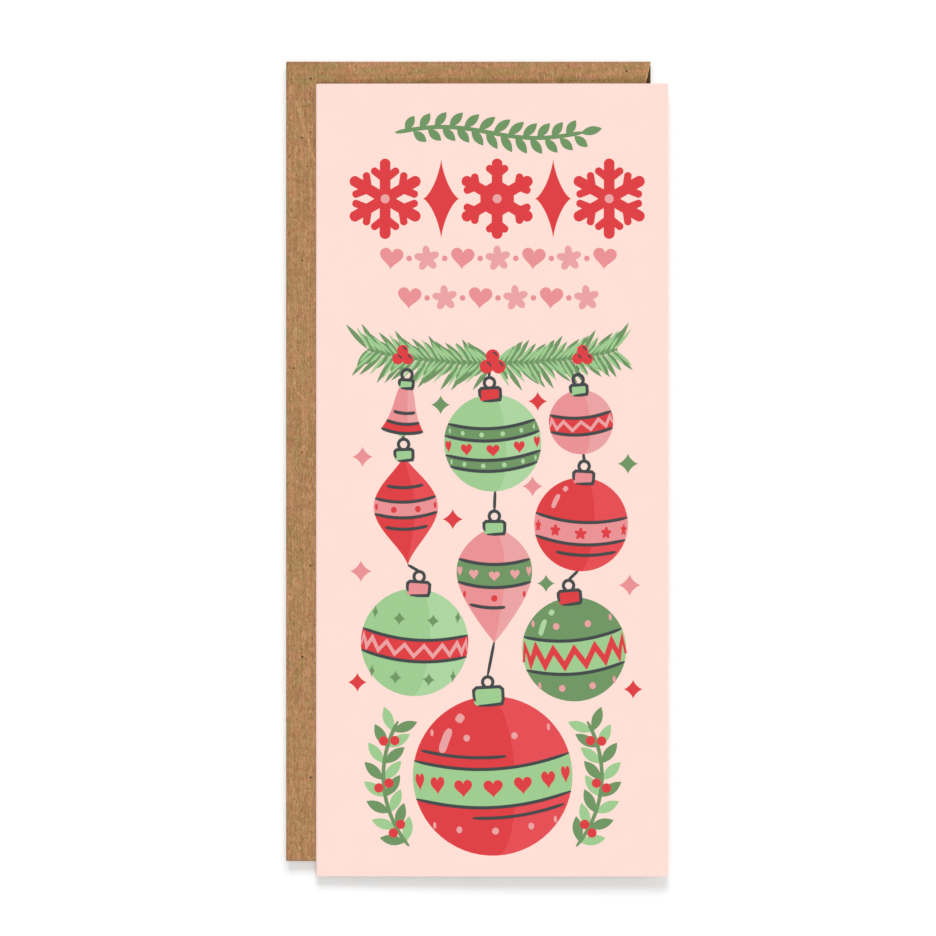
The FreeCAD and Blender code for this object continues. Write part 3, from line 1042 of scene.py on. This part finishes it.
def makeOrnament(item):
    art = newArt()
    panelOn(art, item, item["ink"], 1)
    panelOn(art, item, item["side"], 2, (ornamentShape["shadeFrom"], 1))
    for low, high, ink in item["bands"]:
        panelOn(art, item, ink, 3, band=(low, high))
        lineOn(art, item, low)
        lineOn(art, item, high)
    for draw, marks in ((zigzagOn, "zigzags"), (rowOn, "rows"), (lineOn, "lines")):
        for mark in item.get(marks, ()):
            draw(art, item, *mark)
    if "shine" in item:
        shineOn(art, item)
    if "clapper" in item:
        below = ornamentPlace(item) @ Vector((0, -0.5, 0))
        bead(art, item["capInk"], 0.5, below, item["clapper"])
    capOn(art, item)
    finishArt(art, "printed_" + item["name"])


# Each has its middle, height, turn and outline, then its inks and cap, and what is drawn on it: bands as low,
# high and ink, zigzags as low, high, ink, count and width, rows as motif, ink, rise, count and size, and
# lines as rise, start and end across
ornaments = [
    {
        "name": "great_ball", "at": (51, 29), "tall": 46, "turn": 3, "outline": ballWidth,
        "ink": "red", "side": "redLight", "cap": 4.2, "capInk": "greenLight", "shine": "pinkLight",
        "bands": [(0.38, 0.62, "greenLight")],
        "rows": [
            (heart, "red", 0.50, 7, 2.8), (dot, "pinkLight", 0.80, 4, 1.0), (dot, "pinkLight", 0.22, 5, 1.0),
        ],
        "lines": [(0.69, -0.95, 0.2), (0.31, -0.3, 0.95)],
    },
    {
        "name": "left_ball", "at": (28.5, 67.5), "tall": 31, "turn": -4, "outline": ballWidth,
        "ink": "greenLight", "side": "greenPale", "cap": 3.2, "capInk": "pink",
        "bands": [(0.40, 0.60, "red")],
        "zigzags": [(0.45, 0.55, "pinkLight", 8, 1.0)],
        "rows": [(sparkle, "greenDark", 0.77, 4, 1.9), (sparkle, "greenDark", 0.22, 4, 1.9)],
    },
    {
        "name": "right_ball", "at": (74.5, 65.5), "tall": 30, "turn": 5, "outline": ballWidth,
        "ink": "greenDark", "side": "greenDark", "cap": 3.2, "capInk": "red", "shine": "greenPale",
        "bands": [(0.34, 0.66, "greenLight")],
        "zigzags": [(0.42, 0.58, "red", 7, 1.6)],
        "rows": [(dot, "pinkLight", 0.79, 4, 1.0), (dot, "pinkLight", 0.19, 4, 1.0)],
    },
    {
        "name": "pink_drop", "at": (51.5, 84), "tall": 33, "outline": dropWidth,
        "ink": "pink", "side": "pinkLight", "cap": 3.0, "capInk": "greenLight",
        "bands": [(0.53, 0.73, "greenDark")],
        "rows": [(heart, "pinkLight", 0.63, 5, 1.6), (dot, "red", 0.43, 3, 0.9)],
        "lines": [(0.34, -0.9, 0.4)],
    },
    {
        "name": "red_spindle", "at": (26, 105.5), "tall": 32, "turn": 2, "outline": spindleWidth,
        "ink": "red", "side": "redLight", "cap": 2.6, "capInk": "greenLight",
        "bands": [(0.48, 0.62, "pink")],
        "rows": [(dot, "red", 0.55, 4, 0.9)],
        "lines": [(0.37, -0.8, 0.8), (0.74, -0.8, 0.8)],
    },
    {
        "name": "red_ball", "at": (76.5, 101.5), "tall": 27, "turn": -3, "outline": ballWidth,
        "ink": "red", "side": "redLight", "cap": 2.9, "capInk": "pink", "shine": "pinkLight",
        "bands": [(0.36, 0.60, "pink")],
        "rows": [(blossom, "red", 0.48, 5, 1.8)],
        "lines": [(0.24, -0.6, 0.9)],
    },
    {
        "name": "green_ball", "at": (51, 125), "tall": 28, "turn": 3, "outline": ballWidth,
        "ink": "greenLight", "side": "greenPale", "cap": 3.0, "capInk": "red",
        "bands": [(0.28, 0.40, "greenDark"), (0.60, 0.72, "greenDark")],
        "rows": [
            (heart, "red", 0.50, 5, 1.9), (dot, "greenPale", 0.34, 6, 0.7), (dot, "greenPale", 0.66, 6, 0.7),
        ],
    },
    {
        "name": "pink_ball", "at": (76.5, 131), "tall": 18.5, "turn": 4, "outline": ballWidth,
        "ink": "pink", "side": "pinkLight", "cap": 2.4, "capInk": "greenLight",
        "bands": [(0.38, 0.64, "red")],
        "zigzags": [(0.45, 0.58, "pinkLight", 5, 0.9)],
    },
    {
        "name": "small_bell", "at": (25.5, 135.2), "tall": 13.5, "turn": -5, "outline": bellWidth,
        "ink": "pink", "side": "pinkLight", "cap": 2.0, "capInk": "greenLight", "clapper": 1.7,
        "bands": [(0.02, 0.20, "red")],
        "lines": [(0.42, -0.8, 0.9)],
    },
]

boughShape = {
    "left": 15, "right": 87, "height": 152, "sag": 4, "stem": 1.5, "needles": 46,
    # Dark needles below, and shorter, thinner light ones between them: layer, ink, offset, half length and
    # half width
    "rows": ((1, "greenDark", 0, 4.5, 0.7), (2.3, "greenLight", 0.5, 3.7, 0.42)),
    "splay": 50, "wobble": 9,  # angle between needle and bough, and how uneven it is
    "grown": (0.85, 0.25),  # mean length of the needles, and how uneven it is, for a length of 1
    "berries": ((0.14, 2.6), (0.50, 3.2), (0.86, 2.6)),  # place along the bough and size of each bunch
    "berry": 0.62, "berryShine": 0.36,  # radius of a berry and of the line on it, for a bunch of size 1
    "shineWidth": 0.5,
    "levels": (0.15, 0.45),  # parts of a layer by which needles that cross differ in level
    "waves": (7.3, 3.1),  # steps of the sines that make the needles' turns and lengths uneven
}


def boughAt(share):
    hang = boughShape["sag"] * (1 - (2 * share - 1) ** 2)
    return Vector((widthAt(boughShape, share), boughShape["height"] - hang))


stringShape = {
    "apart": 8,  # ornaments nearer than this across hang on one string
    "end": 0.49,  # how far below an ornament's middle the next thread ends, as a share of its height
}


def makeStrings():
    # Thread from each ornament's loop up to the one above it, or to the bough
    art = newArt()
    paths = []
    for item in ornaments:
        loopTop = item["cap"] * capShape["tall"] + 2 * capShape["ring"]
        start = ornamentPlace(item) @ Vector((0, 0.5 + loopTop / item["tall"], 0))
        above = [
            other for other in ornaments
            if abs(other["at"][0] - item["at"][0]) < stringShape["apart"] and other["at"][1] > start.y
        ]
        if above:
            nearest = min(above, key=lambda other: other["at"][1])
            end = ornamentPlace(nearest) @ Vector((0, -stringShape["end"], 0))
        else:
            reach = (start.x - boughShape["left"]) / (boughShape["right"] - boughShape["left"])
            end = boughAt(reach).to_3d()
        paths.append(trace(lambda share: start.lerp(end, share).xy, 6))
    strokes(art, "charcoal", 0.5, paths, inkShape["line"])
    finishArt(art, "printed_threads")


sprigShape = {
    "centre": (51, 29), "radius": 31.5, "start": 150, "end": 220, "stem": 1.1, "leaves": 8,
    "leaf": (3.7, 1.5),  # half length and half width
    "splay": 44, "gap": 0.2,  # angle and distance between leaf and stem
    "lead": 0.3,  # how far from the stem's end the last pair is, as a share of the spacing
    "ahead": 0.02,  # share of the stem by which its direction is taken
    "berries": (0.16, 0.50, 0.84),  # places of the pairs along the stem
    "berry": 1.35, "berryAway": 1.5, "berryShift": 0.015,  # and how far the two lie from that place
}


def sprigAt(side, share, away=0.0):
    turn = math.radians(sprigShape["start"] + (sprigShape["end"] - sprigShape["start"]) * share)
    reach = sprigShape["radius"] + away
    return Vector(sprigShape["centre"]) + Vector((-side * reach * math.cos(turn), reach * math.sin(turn)))


def makeSprigs():
    # Two leafy sprigs that curl round the great ball, with red berries
    art = newArt()
    shape = sprigShape
    for side in (-1, 1):
        strokes(art, "greenDark", 2, [trace(lambda share: sprigAt(side, share), 24)], shape["stem"])
        for i in range(shape["leaves"]):
            share = 1 - (i + shape["lead"]) / shape["leaves"]
            root = sprigAt(side, share)
            ahead = sprigAt(side, share - shape["ahead"]) - root
            for lean in (-1, 1):
                turn = math.degrees(math.atan2(ahead.y, ahead.x)) + lean * shape["splay"]
                ink = ("greenLight", "greenDark")[(i + (lean > 0)) % 2]
                leafAt(art, ink, 1, root, turn, shape["leaf"], shape["gap"], 20)
        for share in shape["berries"]:
            for out in (-1, 1):
                centre = sprigAt(side, share + out * shape["berryShift"], out * shape["berryAway"])
                bead(art, "red", 3, centre, shape["berry"])
    finishArt(art, "printed_sprigs")


glints = [
    # Place, size and ink of the little stars between the ornaments
    ((13.0, 88), 3.2, "pink"), ((39.5, 103), 3.0, "red"), ((66.4, 84.5), 2.6, "greenDark"),
    ((90.5, 84), 3.2, "pink"), ((62.5, 112.5), 3.0, "pink"), ((36.0, 136), 2.8, "greenDark"),
    ((64.0, 137), 2.8, "red"), ((90.0, 119), 3.0, "greenDark"), ((13.5, 121), 3.0, "pink"),
    ((12.0, 56), 2.8, "red"), ((91.5, 54), 2.8, "red"),
]


def makeGlints():
    art = newArt()
    for centre, size, ink in glints:
        stamp(art, sparkle, ink, 1, centre, (size, size), segments=48)
    finishArt(art, "printed_glints")


def makeBough():
    art = newArt()
    shape = boughShape
    strokes(art, "greenDark", 2, [trace(boughAt, 30)], shape["stem"])
    mean, uneven = shape["grown"]
    turnWave, lengthWave = shape["waves"]
    rowLevel, sideLevel = shape["levels"]
    for layer, ink, offset, length, width in shape["rows"]:
        for i in range(shape["needles"]):
            share = (i + offset) / shape["needles"]
            outward = 1 if share > 0.5 else -1
            for side in (-1, 1):
                wobble = shape["wobble"] * math.sin(turnWave * i + 2 * side + layer)
                turn = 90 * side - outward * side * (90 - shape["splay"] + wobble)
                grown = length * (mean + uneven * math.sin(lengthWave * i + side))
                level = layer + rowLevel * (i % 3) + sideLevel * (side > 0)
                leafAt(art, ink, level, boughAt(share), turn, (grown, width), segments=16)
    for share, size in shape["berries"]:
        for j in range(3):
            centre = boughAt(share) + toward(90 + 120 * j, size * shape["berry"])
            bead(art, "red", 4 + 0.2 * j, centre, size * shape["berry"])
            shine = [centre + toward(math.degrees(0.2 * i), size * shape["berryShine"]) for i in range(9)]
            strokes(art, "charcoal", 5, [shine], shape["shineWidth"])
    finishArt(art, "printed_bough")


makeStrings()
makeBough()
makeSprigs()
makeGlints()
for item in ornaments:
    makeOrnament(item)
print("illustration printed")


# Floor, light and camera

studio = {
    "floorSize": 4.0,  # metres
    "floorDrop": 0.02,  # how far the floor lies below the envelope
    "floorShare": 0.97,  # what the camera sees of the floor's own light
    "floorGlow": 0.017,  # white that is added to it
    "floorBounce": 0.71,  # what the floor throws back on to the object
    "fill": 0.45,  # light from all round
    # Soft boxes: the direction in which each stands, counted from the card's fore edge, its height, its
    # angular size, all in degrees, and its share of the light
    "headBox": (90, 45, 26, 0.30),
    "footBox": (-90, 60, 22, 0.25),
    # Only for the envelope's shadow on the floor
    "lowLeftBox": (104, 20, 17, 0.15),
    "lowRightBox": (76, 20, 17, 0.15),
    "lens": 300,
    "sensor": 36,
    "frameWidth": 269.9,  # millimetres of the card's plane that fill the picture's width
    "aim": (-2.61, 0.22, 3.7),
}


def makeFloor():
    bm = bmesh.new()
    bmesh.ops.create_grid(bm, x_segments=1, y_segments=1, size=studio["floorSize"] / 2)
    bmesh.ops.translate(bm, verts=bm.verts, vec=(0, 0, -studio["floorDrop"] * mm))
    material, tree, shader = newMaterial("studioPaper", {
        "Base Color": toLinear("#FFFFFF"), "Roughness": 1, "Specular IOR Level": 0})
    path = addNode(tree, "ShaderNodeLightPath")
    black = addNode(tree, "ShaderNodeEmission", {"Strength": 0})
    white = addNode(tree, "ShaderNodeEmission", {"Strength": studio["floorGlow"]})
    dimmed = addNode(tree, "ShaderNodeMixShader", {0: 1 - studio["floorShare"], 1: shader, 2: black})
    seen = addNode(tree, "ShaderNodeAddShader", {0: dimmed, 1: white})
    bounced = addNode(tree, "ShaderNodeMixShader", {0: 1 - studio["floorBounce"], 1: shader, 2: black})
    mix = addNode(tree, "ShaderNodeMixShader", {0: path.outputs["Is Camera Ray"], 1: bounced, 2: seen})
    tree.links.new(mix.outputs[0], tree.nodes["output"].inputs["Surface"])
    floor = toObject(bm, "floor", [material])
    return floor


def makeWorld():
    world = bpy.data.worlds.new("studio")
    world.use_nodes = True
    tree = world.node_tree
    tree.nodes.clear()
    path = addNode(tree, "ShaderNodeLightPath")
    direct = addNode(tree, "ShaderNodeMath", {
        0: path.outputs["Is Camera Ray"], 1: path.outputs["Is Glossy Ray"]}, operation="MAXIMUM")
    strength = addNode(tree, "ShaderNodeMapRange", {0: direct, 3: studio["fill"], 4: 1})
    background = addNode(tree, "ShaderNodeBackground", {"Color": (1, 1, 1, 1), "Strength": strength})
    addNode(tree, "ShaderNodeOutputWorld", {"Surface": background})
    bpy.context.scene.world = world


def makeSoftBox(name, turn, height, size, share):
    light = bpy.data.lights.new(name, "SUN")
    compass, up = math.radians(turn), math.radians(height)
    light.angle = math.radians(size)
    light.energy = share * math.pi / math.sin(up)
    lamp = bpy.data.objects.new(name, light)
    away = Vector((math.cos(compass) * math.cos(up), math.sin(compass) * math.cos(up), math.sin(up)))
    lamp.location = away
    lamp.rotation_euler = away.to_track_quat("Z", "Y").to_euler()
    bpy.context.scene.collection.objects.link(lamp)
    return lamp


def linkLamp(lamp, role, things, state):
    # The things that a lamp lights or is blocked by, or, with EXCLUDE, the only ones that it isn't
    group = bpy.data.collections.new(lamp.name + role)
    for thing in things:
        group.objects.link(thing)
    setattr(lamp.light_linking, role, group)
    for item in group.collection_objects:
        item.light_linking.link_state = state


def makeLights(floor):
    # Card and envelope each cast a shadow of their own on the floor, and both are as long
    for name in ("headBox", "footBox"):
        linkLamp(makeSoftBox(name, *studio[name]), "receiver_collection", [floor], "EXCLUDE")
    for box, state in (("headBox", "EXCLUDE"), ("lowLeftBox", "INCLUDE"), ("lowRightBox", "INCLUDE")):
        lamp = makeSoftBox(box + "OnFloor", *studio[box])
        linkLamp(lamp, "receiver_collection", [floor], "INCLUDE")
        linkLamp(lamp, "blocker_collection", envelopePieces, state)


def makeCamera():
    data = bpy.data.cameras.new("camera")
    data.lens = studio["lens"]
    data.sensor_width = studio["sensor"]
    camera = bpy.data.objects.new("camera", data)
    x, y, z = studio["aim"]
    distance = studio["frameWidth"] * studio["lens"] / studio["sensor"]
    camera.location = (x * mm, y * mm, (z + distance) * mm)
    bpy.context.scene.collection.objects.link(camera)
    bpy.context.scene.camera = camera


makeLights(makeFloor())
makeWorld()
makeCamera()
bpy.context.scene.view_settings.view_transform = "Standard"
print("studio made")
